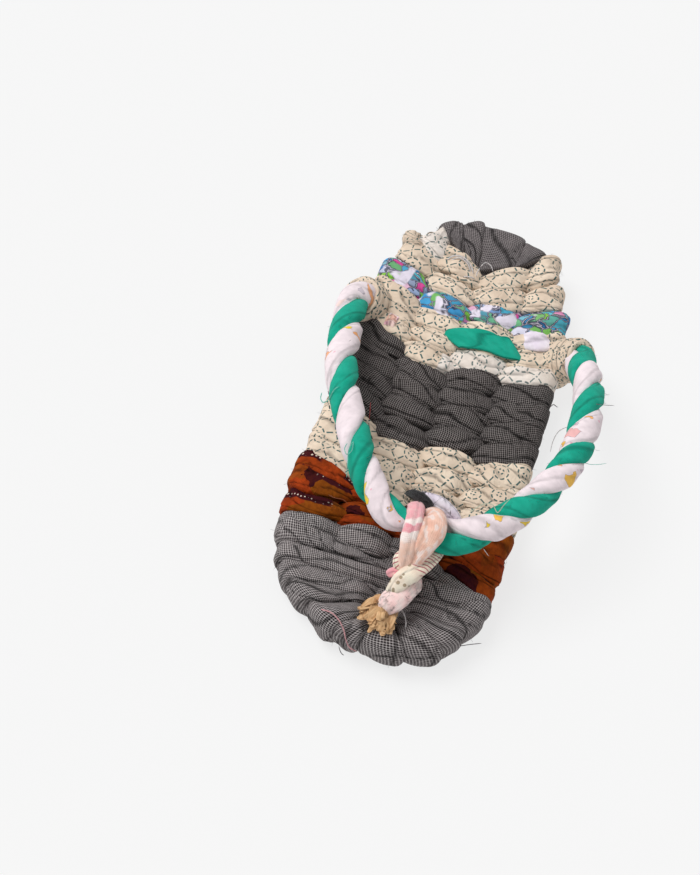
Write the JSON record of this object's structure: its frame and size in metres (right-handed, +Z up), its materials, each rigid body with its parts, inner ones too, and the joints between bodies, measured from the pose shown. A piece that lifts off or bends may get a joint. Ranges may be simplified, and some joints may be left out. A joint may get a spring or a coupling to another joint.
{
  "type": "waraji sandal",
  "caption": "Woven rag sandal in the manner of a waraji: a thick oval sole of cloth strips woven over cords, a twisted cloth strap from side to side and a toe thong.",
  "frame": {"origin": "centre of the sole's underside", "axes": "+Y along the sole towards the heel, toe at -Y; +Z up from the ground; +X to the left of someone who stands in it"},
  "size_m": [0.1315, 0.24, 0.0597],
  "materials": {
    "toe_cap": "fine check cotton, folded",
    "band_brown": "wax-print cotton, dull",
    "band_cream_front": "crepe cotton, dull",
    "band_grey_mid": "fine check cotton, dull",
    "band_cream_mid": "crepe cotton with a dashed print, dull",
    "band_print": "printed cotton jersey, dull",
    "band_cream_heel": "crepe cotton, dull",
    "heel_cap": "fine check cotton, folded",
    "side_loop_left": "wrapped crepe cotton",
    "side_loop_right": "wrapped crepe cotton",
    "strap": "twisted plain and printed cotton",
    "toe_thong": "twisted cotton flannel, napped",
    "thong_tuft": "loose straw"
  },
  "bodies": {
    "root": {"toe_cap": "toe_cap", "band_brown": "band_brown", "band_cream_front": "band_cream_front", "band_grey_mid": "band_grey_mid", "band_cream_mid": "band_cream_mid", "band_print": "band_print", "band_cream_heel": "band_cream_heel", "heel_cap": "heel_cap", "side_loop_left": "side_loop_left", "side_loop_right": "side_loop_right", "strap": "strap", "toe_thong": "toe_thong", "thong_tuft": "thong_tuft"}
  },
  "joints": []
}
